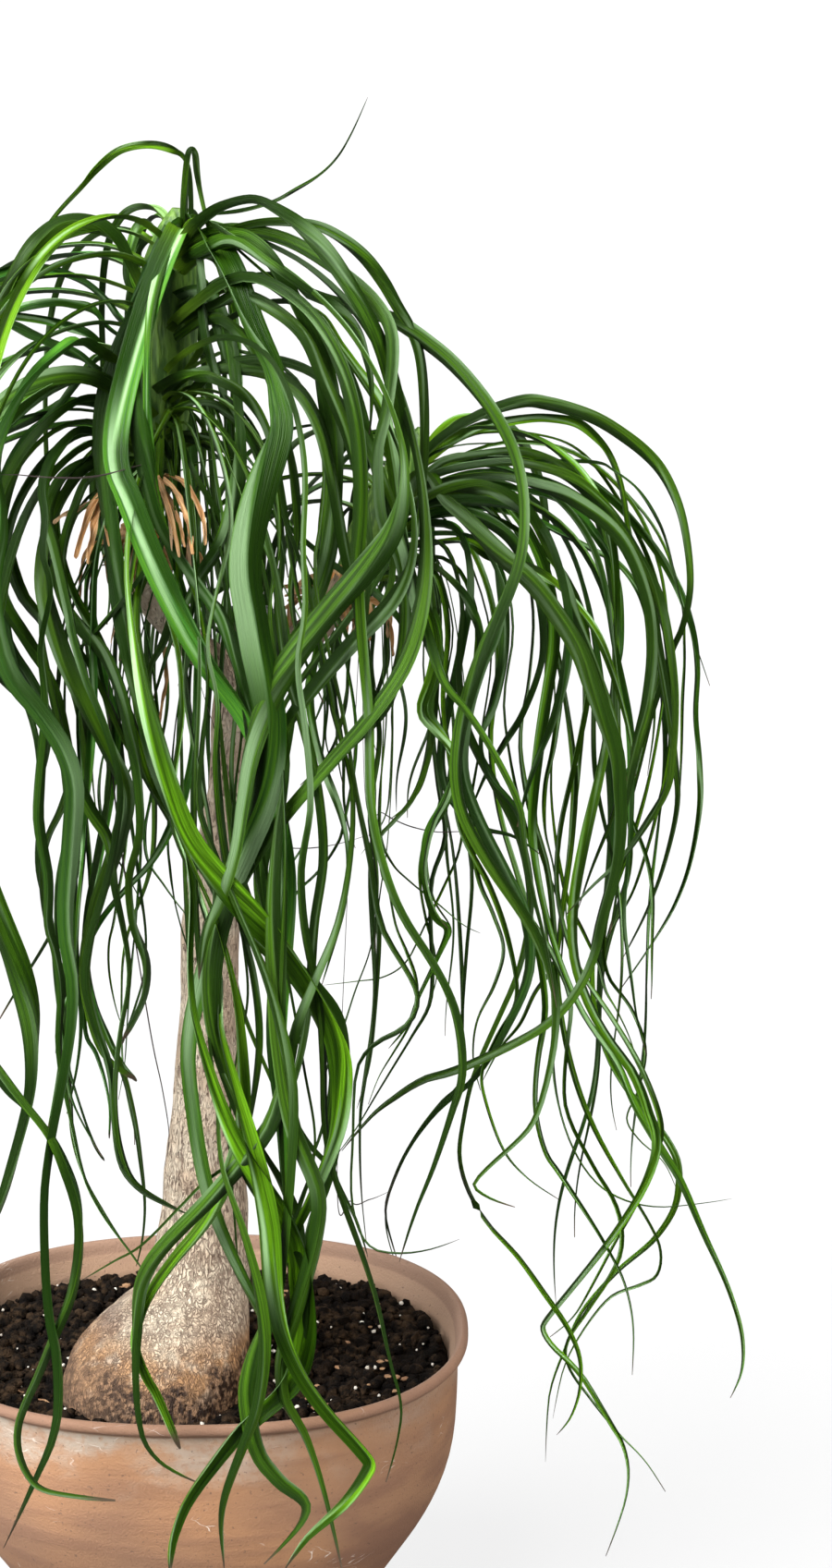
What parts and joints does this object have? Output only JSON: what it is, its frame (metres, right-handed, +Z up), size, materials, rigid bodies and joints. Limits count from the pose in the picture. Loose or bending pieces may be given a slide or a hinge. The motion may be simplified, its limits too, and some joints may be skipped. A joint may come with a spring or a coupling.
{
  "type": "potted ponytail palm",
  "caption": "Ponytail palm with a swollen foot and a forked, cut-back trunk, its heads of long curling strap leaves hanging over an oval terracotta bowl.",
  "frame": {"origin": "middle of the bowl's underside, on the surface it stands on", "axes": "+Z up the plant; +X along the bowl's longer side, towards the lower head; -Y towards the viewer of the front"},
  "size_m": [0.5907, 0.53, 0.9959],
  "materials": {
    "terracotta": "matte",
    "soil": "matte",
    "bark": "matte",
    "seal": "matte",
    "leaf": "satin",
    "dry_leaf": "matte"
  },
  "bodies": {
    "root": {"pot": "terracotta", "soil": "soil", "trunk": "bark", "cut_seal": "seal", "head_left": "leaf", "head_right": "leaf", "dry_leaves_left": "dry_leaf", "dry_leaves_right": "dry_leaf"}
  },
  "joints": []
}
